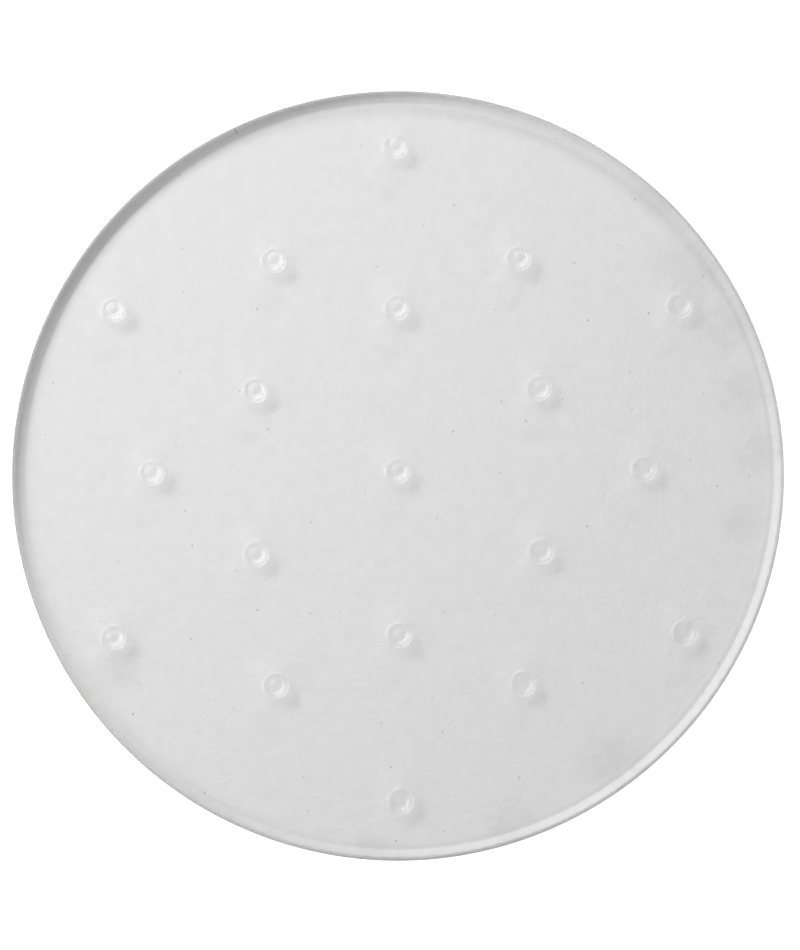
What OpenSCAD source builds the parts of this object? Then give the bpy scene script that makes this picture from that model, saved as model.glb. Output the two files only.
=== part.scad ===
// Round stomp pad for a snowboard deck, as it is sold: a clear moulded mat with conical grip
// studs, the adhesive sheet bonded to its underside, and the release liner that comes away
// before the pad is stuck down.
// Millimetres. +Z is up, and the origin is at the middle of the liner's underside.

/* [Pad] */
// Diameter of the pad across its foot
pad_d = 120; // [90:1:160]
// Thickness of the pad between its studs
pad_t = 3; // [2:0.1:5]
// Height of the upright land below the rounded rim
rim_land = 1; // [0.2:0.1:1.5]

/* [Studs] */
// Number of studs in each of the three rings
ring_studs = 6; // [3:1:8]
// Distance from the pad's edge to the centres of the outermost studs
stud_margin = 9.2; // [7:0.1:15]
// Height of a stud above the pad
stud_h = 2.1; // [1.2:0.1:4]
// Diameter of a stud's cone where it meets the pad
stud_foot_d = 3.6; // [3:0.1:5]
// Diameter of a stud's cone at its tip
stud_tip_d = 2; // [1.2:0.1:2.6]
// Radius of the fillet round a stud's foot
stud_fillet = 0.3; // [0.1:0.05:0.6]
// Radius of the rounding round a stud's tip
stud_edge = 0.15; // [0.05:0.05:0.4]

/* [Backing] */
// Thickness of the adhesive sheet
adhesive_t = 0.5; // [0.1:0.05:1.2]
// Distance that the adhesive sheet stops short of the pad's edge
adhesive_inset = 1; // [0.5:0.1:3]
// Thickness of the release liner
liner_t = 0.16; // [0.08:0.01:0.3]
// Distance that the release liner reaches past the adhesive sheet
liner_lip = 0.5; // [0:0.1:2]

/* [Hidden] */

// Sides of a full circle on the discs and on the small studs
$fn = 180;
stud_fn = 64;

pad_r = pad_d / 2;
adhesive_r = pad_r - adhesive_inset;
liner_r = adhesive_r + liner_lip;

// Heights of the faces, counted up from the liner's underside
adhesive_z = liner_t;
pad_z = adhesive_z + adhesive_t;
deck_z = pad_z + pad_t;

// The rim is a quarter round from the top of the land up to the deck
rim_r = pad_t - rim_land;

// The three rings lie at two, three and four quarters of the outermost ring's radius, and each
// ring is turned by half a step from the one inside it
outer_ring_r = pad_r - stud_margin;
ring_shares = [2 / 4, 3 / 4, 4 / 4];
ring_step = 360 / ring_studs;

// A stud's slanting flank, and the two arcs that run into it at its foot and at its tip
foot_r = stud_foot_d / 2;
tip_r = stud_tip_d / 2;
flank_run = foot_r - tip_r;
flank_length = norm([flank_run, stud_h]);
flank_normal = [stud_h, flank_run] / flank_length;
fillet_centre = [foot_r + stud_fillet * (flank_length - flank_run) / stud_h, stud_fillet];
edge_centre = [
    foot_r - (stud_edge * flank_length + (stud_h - stud_edge) * flank_run) / stud_h,
    stud_h - stud_edge
];
// Depth that a stud's root reaches into the pad, so that the two are one moulding
stud_root = pad_t / 2;

// Half of the pad's section, from its axis to its rim
module pad_section() {
    square([pad_r - rim_r, pad_t]);
    square([pad_r, rim_land]);
    translate([pad_r - rim_r, rim_land])
        intersection() {
            circle(r = rim_r);
            square(rim_r);
        }
}

// Half of a stud's section, with the deck at zero height
module stud_section() {
    fillet_end = fillet_centre - stud_fillet * flank_normal;
    edge_start = edge_centre + stud_edge * flank_normal;
    translate([0, -stud_root]) square([fillet_centre[0], stud_root]);
    polygon([
        [0, 0], [foot_r, 0], fillet_end, edge_start, [edge_centre[0], stud_h], [0, stud_h]
    ]);
    difference() {
        polygon([[foot_r, 0], [fillet_centre[0], 0], fillet_centre, fillet_end]);
        translate(fillet_centre) circle(r = stud_fillet, $fn = stud_fn);
    }
    intersection() {
        translate(edge_centre) circle(r = stud_edge, $fn = stud_fn);
        translate(edge_centre)
            polygon([[0, 0], stud_edge * flank_normal, stud_edge * [1, 1], [0, stud_edge]]);
    }
}

module stud() {
    rotate_extrude($fn = stud_fn) stud_section();
}

// One ring of studs, with its first stud at the angle given
module stud_ring(radius, first_angle) {
    for (i = [0 : ring_studs - 1])
        rotate(first_angle + i * ring_step)
            translate([radius, 0]) stud();
}

// The moulded mat with its studs, clear all through
module pad_moulding() {
    color("gainsboro", 0.5) {
        translate([0, 0, pad_z]) rotate_extrude() pad_section();
        translate([0, 0, deck_z]) {
            stud();
            for (i = [0 : len(ring_shares) - 1])
                stud_ring(outer_ring_r * ring_shares[i], (i + 1) * ring_step / 2);
        }
    }
}

// The double-sided adhesive, cut a little smaller than the pad
module adhesive_sheet() {
    color("whitesmoke", 0.5)
        translate([0, 0, adhesive_z]) cylinder(r = adhesive_r, h = adhesive_t);
}

// The siliconised paper that covers the adhesive until the pad is fitted
module release_liner() {
    color("white") cylinder(r = liner_r, h = liner_t);
}

pad_moulding();
adhesive_sheet();
release_liner();
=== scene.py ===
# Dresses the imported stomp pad: the clear moulding, the adhesive under it and the paper liner.
import math

import bpy
from mathutils import Matrix, Vector


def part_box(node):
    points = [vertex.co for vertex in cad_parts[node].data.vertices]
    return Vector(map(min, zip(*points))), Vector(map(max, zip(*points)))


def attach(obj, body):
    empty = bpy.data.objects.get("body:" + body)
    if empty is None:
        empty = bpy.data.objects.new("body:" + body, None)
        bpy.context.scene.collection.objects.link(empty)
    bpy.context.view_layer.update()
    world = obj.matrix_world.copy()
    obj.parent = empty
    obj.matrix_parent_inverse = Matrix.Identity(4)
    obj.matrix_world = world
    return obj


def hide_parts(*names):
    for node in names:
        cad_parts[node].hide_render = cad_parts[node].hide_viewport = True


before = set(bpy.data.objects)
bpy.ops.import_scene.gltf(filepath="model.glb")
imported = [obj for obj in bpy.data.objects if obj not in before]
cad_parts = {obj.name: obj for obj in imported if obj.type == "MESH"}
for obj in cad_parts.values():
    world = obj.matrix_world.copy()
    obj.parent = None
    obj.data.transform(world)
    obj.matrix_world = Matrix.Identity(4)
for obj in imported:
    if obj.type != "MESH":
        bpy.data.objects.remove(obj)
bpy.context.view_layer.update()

mm = 0.001
padLow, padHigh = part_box("pad_moulding")
glueLow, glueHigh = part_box("adhesive_sheet")
linerLow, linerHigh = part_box("release_liner")
padRadius = padHigh.x
glueRadius = glueHigh.x
linerRadius = linerHigh.x
print("frame loaded, pad radius in mm:", round(padRadius / mm, 2))


# Camera, as the photograph was taken: nearly straight down, tipped a little to the near side
cameraSet = {
    "distance": 425 * mm,
    "elevation": math.radians(85.5),
    "roll": math.radians(-0.46),
    "aim": (0.3 * mm, -0.6 * mm, 3.0 * mm),  # point in the middle of the picture
    "widthAtAim": 124.0 * mm,           # how much of the aim's plane the picture is wide
    "aspect": 950 / 800,                # picture height over its width
    "sensor": 36.0,
    "clip": (10 * mm, 10.0),
}


def makeCamera(s):
    back = Vector((0, -math.cos(s["elevation"]), math.sin(s["elevation"])))
    data = bpy.data.cameras.new("camera")
    data.sensor_width = s["sensor"]
    data.lens = s["sensor"] * s["distance"] / (s["widthAtAim"] * s["aspect"])
    data.clip_start, data.clip_end = s["clip"]
    camera = bpy.data.objects.new("camera", data)
    bpy.context.scene.collection.objects.link(camera)
    turn = (-back).to_track_quat("-Z", "Y").to_matrix() @ Matrix.Rotation(s["roll"], 3, "Z")
    place = Vector(s["aim"]) + back * s["distance"]
    camera.matrix_world = Matrix.Translation(place) @ turn.to_4x4()
    bpy.context.scene.camera = camera


makeCamera(cameraSet)
print("camera set")


# Small tools for modelling by hand
slack = 0.002 * mm      # how far an edge or a face may lie off the height it is looked for at
rimReach = 0.05 * mm    # and an edge off its radius
levelFrom = 0.99        # height of the normal from which a face counts as level
weldReach = 0.001 * mm


def pickNothing():
    if bpy.context.mode != "OBJECT":
        bpy.ops.object.mode_set(mode="OBJECT")
    bpy.ops.object.select_all(action="DESELECT")


def makeActive(piece):
    pickNothing()
    piece.select_set(True)
    bpy.context.view_layer.objects.active = piece


def pick(piece, kind, wanted):
    # Edit mode with only those faces or edges selected for which wanted is true
    makeActive(piece)
    bpy.ops.object.mode_set(mode="EDIT")
    bpy.ops.mesh.select_mode(type=kind)
    bpy.ops.mesh.select_all(action="DESELECT")
    bpy.ops.object.mode_set(mode="OBJECT")
    mesh = piece.data
    for part in {"FACE": mesh.polygons, "EDGE": mesh.edges}[kind]:
        part.select = wanted(mesh, part)
    bpy.ops.object.mode_set(mode="EDIT")


def edgeAtHeight(z, radius):
    # True for an edge that lies at height z and at a distance from the axis
    def wanted(mesh, edge):
        ends = [mesh.vertices[v].co for v in edge.vertices]
        return all(abs(p.z - z) < slack and abs(p.xy.length - radius) < rimReach for p in ends)
    return wanted


def faceAtHeight(z):
    def wanted(mesh, face):
        return abs(face.center.z - z) < slack and abs(face.normal.z) > levelFrom
    return wanted


def addDisc(name, radius, low, high, sides):
    pickNothing()
    bpy.ops.mesh.primitive_cylinder_add(
        vertices=sides, radius=radius, depth=high - low, location=(0, 0, (low + high) / 2)
    )
    disc = bpy.context.active_object
    disc.name = name
    disc.data.name = name
    bpy.ops.object.transform_apply(location=True, rotation=True, scale=True)
    return disc


def finishMesh(piece, angle):
    makeActive(piece)
    bpy.ops.object.mode_set(mode="EDIT")
    bpy.ops.mesh.select_all(action="SELECT")
    bpy.ops.mesh.remove_doubles(threshold=weldReach)
    bpy.ops.mesh.normals_make_consistent(inside=False)
    bpy.ops.object.mode_set(mode="OBJECT")
    bpy.ops.object.shade_smooth_by_angle(angle=angle)


# The clear moulding
padShape = {
    "sides": 288,               # round the disc
    "rimLand": 1.0 * mm,        # upright edge under the rounded rim
    "rimSteps": 24,             # over the rounded rim
    "witnessWall": 0.14 * mm,   # fine witness line of the mould where the rim meets the deck
    "witnessRamp": 0.6 * mm,
    "witnessDepth": 0.035 * mm,
    "deckRing": 0.4 * mm,       # flat ring inside it, where the deck's shading settles
    "smoothAngle": math.radians(40),
}
studShape = {
    "sides": 64,                # round a stud
    "height": 2.1 * mm,
    "footRadius": 1.8 * mm,
    "tipRadius": 1.0 * mm,
    "fillet": 0.3 * mm,         # round the foot
    "edge": 0.15 * mm,          # round the tip
    "arcSteps": 6,              # over each of the two roundings
    "skirt": (2.1 * mm, 1.1 * mm),  # outer and inner edge of the flat ring of deck round the foot
    "margin": 9.2 * mm,         # from the pad's edge to the outermost studs
    "ringShares": (2 / 4, 3 / 4, 4 / 4),
    "perRing": 6,
}
deckZ = padHigh.z - studShape["height"]


def arcPoint(x, z, radius, angle):
    return x + radius * math.cos(angle), z + radius * math.sin(angle)


def studProfile(s):
    # Points (radius, height above the deck) from the skirt up over the fillet, flank and tip
    run = s["footRadius"] - s["tipRadius"]
    slope = math.hypot(run, s["height"])
    lean = math.asin(run / slope)                       # of the flank's normal, above the level
    filletX = s["footRadius"] + s["fillet"] * (slope - run) / s["height"]
    edgeX = s["footRadius"] - (s["edge"] * slope + (s["height"] - s["edge"]) * run) / s["height"]
    points = [(filletX + reach, 0.0) for reach in s["skirt"]]
    for i in range(s["arcSteps"] + 1):
        a = math.pi / 2 - i / s["arcSteps"] * (math.pi / 2 - lean)
        points.append(arcPoint(filletX, s["fillet"], -s["fillet"], a))
    for i in range(s["arcSteps"] + 1):
        a = lean + i / s["arcSteps"] * (math.pi / 2 - lean)
        points.append(arcPoint(edgeX, s["height"] - s["edge"], s["edge"], a))
    return points


def makeStud(s):
    # A ring of edges on the deck, drawn up step by step along the profile and closed at the tip
    points = studProfile(s)
    pickNothing()
    bpy.ops.mesh.primitive_circle_add(
        vertices=s["sides"], radius=points[0][0], fill_type="NOTHING", location=(0, 0, deckZ)
    )
    stud = bpy.context.active_object
    stud.name = "stud"
    bpy.ops.object.transform_apply(location=True)
    bpy.ops.object.mode_set(mode="EDIT")
    bpy.ops.mesh.select_mode(type="EDGE")
    bpy.ops.mesh.select_all(action="SELECT")
    for (r0, z0), (r1, z1) in zip(points, points[1:]):
        bpy.ops.mesh.extrude_region_move(TRANSFORM_OT_translate={"value": (0, 0, z1 - z0)})
        bpy.ops.transform.resize(value=(r1 / r0, r1 / r0, 1), center_override=(0, 0, deckZ + z1))
    bpy.ops.mesh.edge_face_add()
    bpy.ops.object.mode_set(mode="OBJECT")
    return stud


def studPlaces(s):
    outer = padRadius - s["margin"]
    step = 2 * math.pi / s["perRing"]
    places = [(0.0, 0.0)]
    for ring, share in enumerate(s["ringShares"]):
        for i in range(s["perRing"]):
            a = (i + (ring + 1) / 2) * step
            places.append((outer * share * math.cos(a), outer * share * math.sin(a)))
    return places


def makePad(s):
    pad = addDisc("clearPad", padRadius, padLow.z, deckZ, s["sides"])
    rimRadius = deckZ - padLow.z - s["rimLand"]
    pick(pad, "EDGE", edgeAtHeight(deckZ, padRadius))
    bpy.ops.mesh.bevel(
        offset=rimRadius, offset_type="OFFSET", segments=s["rimSteps"], profile=0.5, affect="EDGES"
    )
    pick(pad, "FACE", faceAtHeight(padLow.z))
    bpy.ops.mesh.inset(thickness=padRadius - glueRadius)
    pick(pad, "FACE", faceAtHeight(deckZ))
    bpy.ops.mesh.inset(thickness=s["witnessWall"], depth=-s["witnessDepth"])
    bpy.ops.mesh.inset(thickness=s["witnessRamp"], depth=s["witnessDepth"])
    bpy.ops.mesh.inset(thickness=s["deckRing"])
    bpy.ops.mesh.delete(type="FACE")
    bpy.ops.object.mode_set(mode="OBJECT")

    stud = makeStud(studShape)
    studs = []
    for x, y in studPlaces(studShape):
        copy = stud.copy()
        copy.data = stud.data.copy()
        copy.data.transform(Matrix.Translation((x, y, 0)))
        bpy.context.scene.collection.objects.link(copy)
        studs.append(copy)
    bpy.data.objects.remove(stud)
    makeActive(pad)
    for copy in studs:
        copy.select_set(True)
    bpy.ops.object.join()

    # The deck is filled in between the rim and the studs' skirts
    bpy.ops.object.mode_set(mode="EDIT")
    bpy.ops.mesh.select_mode(type="EDGE")
    bpy.ops.mesh.select_all(action="DESELECT")
    bpy.ops.mesh.select_non_manifold(
        extend=False, use_wire=False, use_boundary=True, use_multi_face=False,
        use_non_contiguous=False, use_verts=False,
    )
    bpy.ops.mesh.fill(use_beauty=True)
    finishMesh(pad, s["smoothAngle"])
    return pad


clearPad = makePad(padShape)
print("pad modelled, faces:", len(clearPad.data.polygons))


# The adhesive and the liner are flat discs with cut edges
glueShape = {
    "sides": 288,
    "cutRound": 0.06 * mm,      # worn corner of the cut edge
    "cutSteps": 3,
    "gap": 0.004 * mm,          # left free on each face, so that light meets the faces in order
    "smoothAngle": math.radians(40),
}
linerShape = {
    "sides": 288,
    "cutRound": 0.03 * mm,
    "cutSteps": 2,
    "gap": 0.0,
    "smoothAngle": math.radians(40),
}


def makeSheet(name, radius, low, high, s):
    bottom, top = low.z + s["gap"], high.z - s["gap"]
    sheet = addDisc(name, radius, bottom, top, s["sides"])
    for z in (bottom, top):
        pick(sheet, "EDGE", edgeAtHeight(z, radius))
        bpy.ops.mesh.bevel(
            offset=s["cutRound"], offset_type="OFFSET", segments=s["cutSteps"], profile=0.5,
            affect="EDGES",
        )
    finishMesh(sheet, s["smoothAngle"])
    return sheet


glueSheet = makeSheet("glueSheet", glueRadius, glueLow, glueHigh, glueShape)
linerSheet = makeSheet("linerSheet", linerRadius, linerLow, linerHigh, linerShape)
print("adhesive and liner modelled")


# Materials
def colour(hexValue):
    # sRGB hex to linear
    parts = [int(hexValue[i:i + 2], 16) / 255 for i in (1, 3, 5)]
    return [p / 12.92 if p <= 0.04045 else ((p + 0.055) / 1.055) ** 2.4 for p in parts] + [1.0]


def wayTo(azimuth, elevation):
    # Unit vector towards a place given in degrees
    azimuth, elevation = math.radians(azimuth), math.radians(elevation)
    level = math.cos(elevation)
    return Vector((math.cos(azimuth) * level, math.sin(azimuth) * level, math.sin(elevation)))


def grey(level):
    return (level, level, level, 1.0)


def newMaterial(name):
    material = bpy.data.materials.new(name)
    material.use_nodes = True
    material.node_tree.nodes.clear()
    return material


def addNode(material, kind, inputs=None, settings=None):
    # One node with its settings, and what each of its sockets takes: another socket or a constant
    node = material.node_tree.nodes.new(kind)
    for key, value in (settings or {}).items():
        setattr(node, key, value)
    for key, source in (inputs or {}).items():
        if isinstance(source, bpy.types.NodeSocket):
            material.node_tree.links.new(source, node.inputs[key])
        else:
            node.inputs[key].default_value = source
    return node


def addRamp(material, value, stops):
    # Greys given as (place, level)
    node = addNode(material, "ShaderNodeValToRGB", {"Fac": value})
    ramp = node.color_ramp
    while len(ramp.elements) < len(stops):
        ramp.elements.new(0.5)
    for element, (place, level) in zip(ramp.elements, stops):
        element.position = place
        element.color = grey(level)
    return node.outputs["Color"]


def addSpan(material, value, span, shares=(0.0, 1.0), kind="LINEAR"):
    # Spreads a span of a value over a span of shares
    inputs = {
        "Value": value, "From Min": span[0], "From Max": span[1], "To Min": shares[0], "To Max": shares[1]
    }
    return addNode(material, "ShaderNodeMapRange", inputs, {"interpolation_type": kind}).outputs["Result"]


def addNoise(material, place, width, detail):
    inputs = {"Vector": place, "Scale": 1 / width, "Detail": detail}
    return addNode(material, "ShaderNodeTexNoise", inputs).outputs["Fac"]


def addMath(material, operation, *numbers):
    node = addNode(material, "ShaderNodeMath", dict(enumerate(numbers)), {"operation": operation})
    return node.outputs["Value"]


def addVectorMath(material, operation, *vectors):
    node = addNode(material, "ShaderNodeVectorMath", dict(enumerate(vectors)), {"operation": operation})
    return node.outputs["Value" if operation in ("DOT_PRODUCT", "DISTANCE") else "Vector"]


def addTurn(material, vector, azimuth):
    # Cosine of the angle between a vector, laid level, and an azimuth
    flat = addVectorMath(material, "MULTIPLY", vector, (1, 1, 0))
    unit = addVectorMath(material, "NORMALIZE", flat)
    return addVectorMath(material, "DOT_PRODUCT", unit, wayTo(azimuth, 0))


def addMix(material, share, first, second):
    # Sockets 6 and 7 are the two colours, and output 2 is theirs
    inputs = {0: share, 6: first, 7: second}
    return addNode(material, "ShaderNodeMix", inputs, {"data_type": "RGBA"}).outputs[2]


def addMixShader(material, share, first, second):
    return addNode(material, "ShaderNodeMixShader", {0: share, 1: first, 2: second}).outputs["Shader"]


def addBump(material, height, depth, inputs=None):
    inputs = {"Height": height, "Distance": depth, **(inputs or {})}
    return addNode(material, "ShaderNodeBump", inputs).outputs["Normal"]


def setSurface(material, shader):
    addNode(material, "ShaderNodeOutputMaterial", {"Surface": shader})


urethaneLook = {
    "colour": "#FEFEFE",
    "ior": 1.5,
    "roughness": (0.03, 0.07),  # polished mould with faint handling haze
    "hazeSpan": (0.3, 0.7),     # of the noise that the haze follows
    "ripple": 7.0 * mm,         # width of the sink ripples of a thick moulding
    "peel": 0.9 * mm,           # width of the fine orange peel
    "rippleDepth": 0.006 * mm,
    "peelDepth": 0.0006 * mm,
    "keyAzimuth": 140,
    # Share of a lamp's light that reaches the paper, by how level the surface lies: 0 upright, 1 level.
    # The rim turns light aside at mid slope and gathers it beside the deck
    "rimPasses": (
        (0.0, 0.63), (0.25, 0.34), (0.35, 0.0), (0.45, 0.05), (0.5, 0.14), (0.55, 0.26),
        (0.6, 0.49), (0.65, 0.66), (0.75, 0.8), (0.85, 0.86), (0.96, 1.0), (1.0, 0.93),
    ),
    # The same where the rim runs across the key light and throws it sideways
    "acrossPasses": (
        (0.0, 0.5), (0.25, 0.12), (0.35, 0.08), (0.45, 0.25), (0.5, 0.36), (0.55, 0.5),
        (0.6, 0.62), (0.65, 0.72), (0.75, 0.86), (0.85, 0.95), (0.96, 1.0), (1.0, 0.93),
    ),
    "acrossSpan": (0.9, 0.6),   # cosine of the rim's turn away from the key light
    # Share of light that the rim's scuffed shoulder scatters, by how level it lies
    "scuff": ((0.0, 0.15), (0.3, 0.4), (0.5, 0.43), (0.65, 0.22), (0.8, 0.0)),
    "scuffColour": "#F2F2F2",
    # A lamp's share through a stud: by the flank toward the key light, the one away from it and the tip
    "towardKey": 0.93,
    "awayFromKey": 0.56,
    "flankSpan": (-0.7, 0.7),   # how far a flank faces either way
    "tip": 0.6,
    "tipSpan": (0.9, 1.0),      # how level the tip lies
    "foot": 1.45,               # gathered on the deck beside a stud's foot, toward the key light
    "footSector": 0.9,          # cosine of half the width of that place
}


def surfaceSlope(material):
    # The normal, which faces inward to light followed up from the paper, and how level the surface lies
    normal = addNode(material, "ShaderNodeNewGeometry").outputs["Normal"]
    parts = addNode(material, "ShaderNodeSeparateXYZ", {"Vector": normal})
    return normal, addMath(material, "ABSOLUTE", parts.outputs["Z"])


def urethaneGlass(material, s):
    # Clear cast urethane, which bends what lies under the rim and the studs
    place = addNode(material, "ShaderNodeTexCoord").outputs["Object"]
    haze = addNoise(material, place, s["ripple"], 4.0)
    dull = addSpan(material, haze, s["hazeSpan"], s["roughness"])
    rippled = addBump(material, addNoise(material, place, s["ripple"], 1.0), s["rippleDepth"])
    peel = addNoise(material, place, s["peel"], 2.0)
    peeled = addBump(material, peel, s["peelDepth"], {"Normal": rippled})
    return addNode(material, "ShaderNodeBsdfPrincipled", {
        "Base Color": colour(s["colour"]),
        "Transmission Weight": 1.0,
        "IOR": s["ior"],
        "Roughness": dull,
        "Normal": peeled,
    }).outputs["BSDF"]


def letLampsThrough(material, surface, share):
    # Lamps shine straight through, thinned to a share
    thinned = addNode(material, "ShaderNodeBsdfTransparent", {"Color": share}).outputs["BSDF"]
    isShadow = addNode(material, "ShaderNodeLightPath").outputs["Is Shadow Ray"]
    setSurface(material, addMixShader(material, isShadow, surface, thinned))


def rimUrethane(s):
    material = newMaterial("clearUrethane")
    normal, level = surfaceSlope(material)
    straight = addMath(material, "ABSOLUTE", addTurn(material, normal, s["keyAzimuth"]))
    across = addSpan(material, straight, s["acrossSpan"])
    share = addMix(material, across, addRamp(material, level, s["rimPasses"]),
                   addRamp(material, level, s["acrossPasses"]))
    # The shoulder is handled and rubbed, and scatters part of the light that meets its outside
    inside = addNode(material, "ShaderNodeNewGeometry").outputs["Backfacing"]
    scattered = addSpan(material, inside, (0.0, 1.0), (addRamp(material, level, s["scuff"]), 0.0))
    scuffed = addNode(material, "ShaderNodeBsdfDiffuse", {"Color": colour(s["scuffColour"])})
    surface = addMixShader(material, scattered, urethaneGlass(material, s), scuffed.outputs["BSDF"])
    letLampsThrough(material, surface, share)
    return material


def studUrethane(s):
    material = newMaterial("studUrethane")
    normal, level = surfaceSlope(material)
    facing = addVectorMath(material, "DOT_PRODUCT", normal, wayTo(s["keyAzimuth"], 0))
    flank = addSpan(material, facing, s["flankSpan"], (s["towardKey"], s["awayFromKey"]))
    share = addSpan(material, level, s["tipSpan"], (flank, s["tip"]))
    letLampsThrough(material, urethaneGlass(material, s), share)
    return material


def footUrethane(s):
    material = newMaterial("footUrethane")
    letLampsThrough(material, urethaneGlass(material, s), grey(s["foot"]))
    return material


def wettedContact():
    # Faces that are bonded together, which light doesn't notice
    material = newMaterial("wettedContact")
    setSurface(material, addNode(material, "ShaderNodeBsdfTransparent").outputs["BSDF"])
    return material


adhesiveLook = {
    "colour": "#FAFAF8",
    "ior": 1.48,
    "roughness": 0.12,
    "passes": 0.9,              # share of a lamp's light that goes through the cut edge
}


def acrylicAdhesive(s):
    # Clear acrylic transfer adhesive: soft cut edge, a little hazy
    material = newMaterial("acrylicAdhesive")
    glass = addNode(material, "ShaderNodeBsdfPrincipled", {
        "Base Color": colour(s["colour"]),
        "Transmission Weight": 1.0,
        "IOR": s["ior"],
        "Roughness": s["roughness"],
    })
    letLampsThrough(material, glass.outputs["BSDF"], grey(s["passes"]))
    return material


paperLook = {
    "colour": "#E8E8E8",
    "shade": "#E5E5E5",         # between the fibre clumps
    "clump": 2.2 * mm,          # width of a fibre clump
    "clumpSpan": (0.35, 0.65),  # of the noise that the clumps follow
    "grain": 0.7 * mm,          # width of the sheet's fine relief, drawn coarse enough to show
    "relief": 0.085 * mm,       # its depth, deeper than real for the same reason
    "speck": "#9A968F",         # grit and bark in the pulp
    "speckGap": 10.0 * mm,      # between one speck and the next
    "speckRadius": 0.18 * mm,
    "speckCore": 0.4,           # share of the radius that has the full tone
    "roughness": 0.6,
    "gloss": 0.1,               # matt: far less than bare plastic
    "dry": "#DEDEDE",           # where air lies between the adhesive and the paper
    "dryGrain": 2.0 * mm,       # of a dry patch's ragged edge
    "drySpan": (0.1, 0.5),      # over which a patch comes in
    # Dry patches along the margin, as (x, y, radius) in mm
    "dryPatches": (
        (46, 31, 10), (51, 22, 9), (54, 12, 8), (56, 3, 7), (53, -8, 6), (41, 43, 6),
        (33, -45, 9), (17, -55, 7), (-5, -59, 6), (-43, -30, 7),
    ),
}


def nearestDryPatch(material, place, patches):
    # 1 in the middle of a patch and 0 outside all of them
    flat = addVectorMath(material, "MULTIPLY", place, (1, 1, 0))
    nearest = None
    for x, y, radius in patches:
        away = addVectorMath(material, "DISTANCE", flat, (x * mm, y * mm, 0))
        inside = addSpan(material, away, (radius * mm, 0.0))
        nearest = inside if nearest is None else addMath(material, "MAXIMUM", inside, nearest)
    return nearest


def siliconisedPaper(s):
    # Bleached kraft with a silicone coat: white and even, with a fine grain and a few specks
    material = newMaterial("siliconisedPaper")
    place = addNode(material, "ShaderNodeTexCoord").outputs["Object"]
    mottle = addSpan(material, addNoise(material, place, s["clump"], 3.0), s["clumpSpan"])
    sheet = addMix(material, mottle, colour(s["shade"]), colour(s["colour"]))

    # Dry patches, made ragged by a fine noise
    torn = addMath(material, "MULTIPLY", addNoise(material, place, s["dryGrain"], 5.0),
                   nearestDryPatch(material, place, s["dryPatches"]))
    dryness = addSpan(material, torn, s["drySpan"], kind="SMOOTHSTEP")
    patched = addMix(material, dryness, sheet, colour(s["dry"]))

    # Specks at scattered points, each of its own strength
    points = addNode(material, "ShaderNodeTexVoronoi", {"Vector": place, "Scale": 1 / s["speckGap"]},
                     {"voronoi_dimensions": "2D"})
    reach = s["speckRadius"] / s["speckGap"]
    dots = addSpan(material, points.outputs["Distance"], (reach, s["speckCore"] * reach))
    own = addNode(material, "ShaderNodeSeparateColor", {"Color": points.outputs["Color"]})
    strength = addMath(material, "MULTIPLY", dots, own.outputs["Red"])
    specked = addMix(material, strength, patched, colour(s["speck"]))

    shader = addNode(material, "ShaderNodeBsdfPrincipled", {
        "Base Color": specked,
        "Roughness": s["roughness"],
        "Specular IOR Level": s["gloss"],
        "Normal": addBump(material, addNoise(material, place, s["grain"], 2.0), s["relief"]),
    })
    setSurface(material, shader.outputs["BSDF"])
    return material


padSlots = ("rim", "stud", "foot", "bonded")  # in the order that the materials go on
contact = wettedContact()
for makeMaterial in (rimUrethane, studUrethane, footUrethane):
    clearPad.data.materials.append(makeMaterial(urethaneLook))
clearPad.data.materials.append(contact)
keyWay = wayTo(urethaneLook["keyAzimuth"], 0).xy
skirtOuter, skirtInner = [r for r, z in studProfile(studShape)[:2]]


def besideFoot(face):
    # True on the outer ring of a stud's skirt, on the side that faces the key light
    for x, y in studPlaces(studShape):
        away = face.center.xy - Vector((x, y))
        if skirtInner < away.length < skirtOuter:
            return away.normalized().dot(keyWay) > urethaneLook["footSector"]
    return False


def slotOf(mesh, face):
    if faceAtHeight(padLow.z)(mesh, face) and face.center.xy.length < glueRadius:
        return "bonded"
    if faceAtHeight(deckZ)(mesh, face) and besideFoot(face):
        return "foot"
    return "stud" if face.center.z > deckZ + slack else "rim"


for face in clearPad.data.polygons:
    face.material_index = padSlots.index(slotOf(clearPad.data, face))
for material in (acrylicAdhesive(adhesiveLook), contact):
    glueSheet.data.materials.append(material)
for face in glueSheet.data.polygons:
    face.material_index = 1 if abs(face.normal.z) > levelFrom else 0
linerSheet.data.materials.append(siliconisedPaper(paperLook))
print("materials made")


# Floor and light
floorLook = {
    "size": 4.0,
    "drop": 0.02 * mm,          # below the liner, so that the two don't share a plane
    "seen": 0.9,                # how pale the floor is to the eye
    "glow": 0.48,               # lit from behind as well, as a white product table is
    "paintedDarkReflection": 0.12,           # painted dark reflection: how pale the floor is to every ray but the eye's, in the pad's gloss and through the pad at rest, as with dark cards laid round a clear object; it darkens the rim's outline
    "through": 0.6,             # painted shade: how pale the floor is through the clear pad, once that is lifted by the span below; greyer than to the eye, standing in for the pad's shadow and the light it holds back
    "liftSpan": (12 * mm, 24 * mm),
    "paintedGlossGlow": 1.2,            # painted reflection: glow added to the floor in the gloss alone, on the near right, which brightens the rim's reflection there
    "nearAzimuth": -22,
    "nearSpan": (0.5, 0.85),    # cosine of the turn away from there
}


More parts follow.
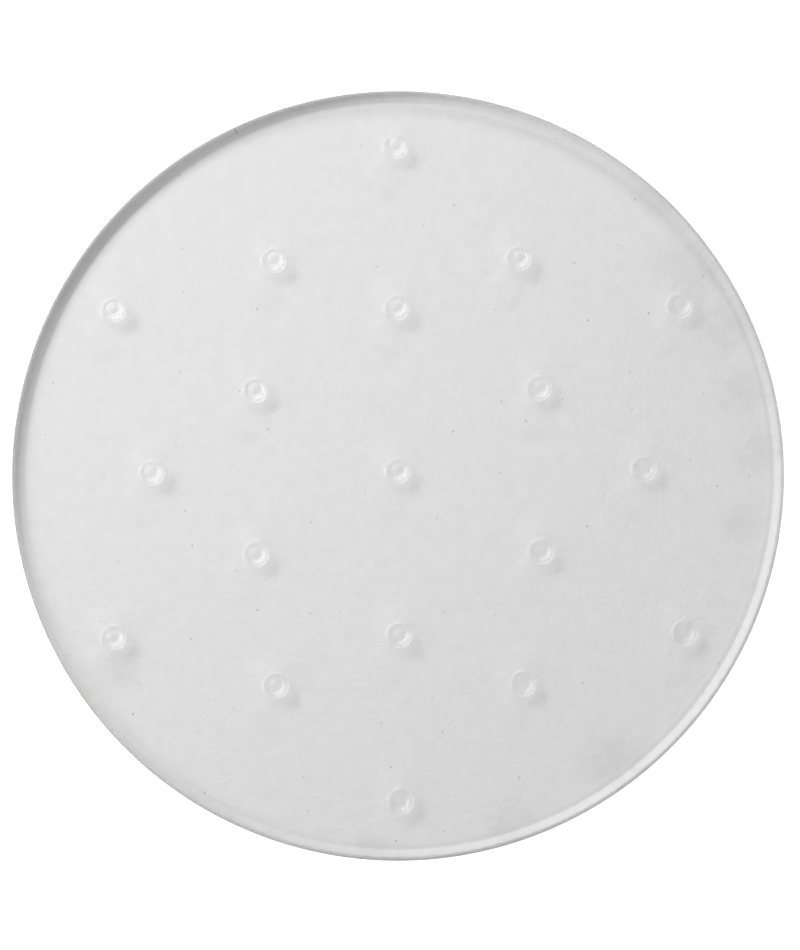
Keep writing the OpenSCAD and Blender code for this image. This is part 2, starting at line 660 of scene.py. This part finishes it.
def paleFloor(s):
    # White acrylic sheet, lit from below
    material = newMaterial("paleFloor")
    path = addNode(material, "ShaderNodeLightPath").outputs
    # Painted dark reflection: the floor is pale to the eye and dark to every other ray
    seenOrPaintedDark = addSpan(material, path["Is Camera Ray"], (0.0, 1.0), (s["paintedDarkReflection"], s["seen"]))
    # Painted shade: the floor seen through the lifted pad is greyer than to the eye
    lifted = addSpan(material, path["Ray Length"], s["liftSpan"], (0.0, s["through"]))
    under = addMath(material, "MULTIPLY", path["Is Transmission Ray"], lifted)
    matt = addNode(material, "ShaderNodeBsdfDiffuse", {"Color": addMath(material, "MAXIMUM", seenOrPaintedDark, under)})
    place = addNode(material, "ShaderNodeTexCoord").outputs["Object"]
    # Painted reflection: the floor glows on the near right in the gloss alone
    turn = addTurn(material, place, s["nearAzimuth"])
    near = addSpan(material, turn, s["nearSpan"], (0.0, s["paintedGlossGlow"]))
    paintedReflectionGlow = addMath(material, "MULTIPLY", near, path["Is Glossy Ray"])
    strength = addMath(material, "MULTIPLY_ADD", path["Is Camera Ray"], s["glow"], paintedReflectionGlow)
    glow = addNode(material, "ShaderNodeEmission", {"Strength": strength})
    both = addNode(material, "ShaderNodeAddShader", {0: matt.outputs["BSDF"], 1: glow.outputs["Emission"]})
    setSurface(material, both.outputs["Shader"])
    return material


def makeFloor(s):
    pickNothing()
    bpy.ops.mesh.primitive_plane_add(size=s["size"], location=(0, 0, linerLow.z - s["drop"]))
    floor = bpy.context.active_object
    floor.name = "floor"
    floor.data.materials.append(paleFloor(s))


lightSet = {
    "top": {"azimuth": 80, "elevation": 37, "distance": 1.0, "size": (0.3, 0.05), "power": 1.8},
    "left": {"azimuth": 138, "elevation": 58, "distance": 1.6, "size": (0.48, 0.38), "power": 12.6},
    "over": {"azimuth": 194, "elevation": 70, "distance": 0.95, "size": (1.4, 1.4), "power": 7.55},
}
# Brightness of the room that the gloss shows, as (height of the sight line, share of brightest)
skySet = {
    "brightest": 7.8,
    "allRound": ((0.0, 0.06), (0.2, 0.08), (0.45, 0.03), (0.7, 0.05), (0.87, 0.18), (1.0, 0.13)),
    "nearRight": (
        (0.0, 0.47), (0.2, 0.6), (0.45, 0.84), (0.7, 0.95), (0.87, 0.69), (0.96, 0.69), (1.0, 0.0),
    ),
    "azimuth": -40,             # of the pale wall on the near right
}


def makeSoftbox(name, s):
    way = wayTo(s["azimuth"], s["elevation"])
    data = bpy.data.lights.new(name, "AREA")
    data.shape = "RECTANGLE"
    data.size, data.size_y = s["size"]
    data.energy = s["power"]
    softbox = bpy.data.objects.new(name, data)
    bpy.context.scene.collection.objects.link(softbox)
    turn = (-way).to_track_quat("-Z", "Y").to_matrix().to_4x4()
    softbox.matrix_world = Matrix.Translation(way * s["distance"]) @ turn
    softbox.visible_glossy = False  # the gloss shows the sky alone
    softbox.visible_transmission = False
    data.cycles.use_multiple_importance_sampling = False


def makeSky(s):
    world = bpy.data.worlds.new("studio")
    world.use_nodes = True
    world.node_tree.nodes.clear()
    sight = addNode(world, "ShaderNodeTexCoord").outputs["Generated"]
    height = addNode(world, "ShaderNodeSeparateXYZ", {"Vector": sight}).outputs["Z"]
    toward = addMath(world, "MAXIMUM", addTurn(world, sight, s["azimuth"]), 0.0)
    both = addMath(world, "MULTIPLY_ADD", addRamp(world, height, s["nearRight"]), toward,
                   addRamp(world, height, s["allRound"]))
    strength = addMath(world, "MULTIPLY", both, s["brightest"])
    background = addNode(world, "ShaderNodeBackground", {"Strength": strength})
    addNode(world, "ShaderNodeOutputWorld", {"Surface": background.outputs["Background"]})
    world.cycles.sampling_method = "NONE"  # the sky shows in gloss alone, and lamps light the rest
    world.cycles_visibility.diffuse = False
    bpy.context.scene.world = world


makeFloor(floorLook)
for name, settings in lightSet.items():
    makeSoftbox(name, settings)
makeSky(skySet)

scene = bpy.context.scene
scene.view_settings.view_transform = "Standard"
scene.cycles.max_bounces = 32
scene.cycles.diffuse_bounces = 8
scene.cycles.glossy_bounces = 16
scene.cycles.transmission_bounces = 32
scene.cycles.transparent_max_bounces = 64
scene.cycles.caustics_reflective = False  # lamps reach the paper through the pad's own shader
scene.cycles.caustics_refractive = False
scene.cycles.use_denoising = True
print("floor and light set")


# What moves with what
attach(clearPad, "pad")
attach(glueSheet, "pad")
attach(linerSheet, "liner")
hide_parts("pad_moulding")
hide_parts("adhesive_sheet")
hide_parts("release_liner")

print("done")
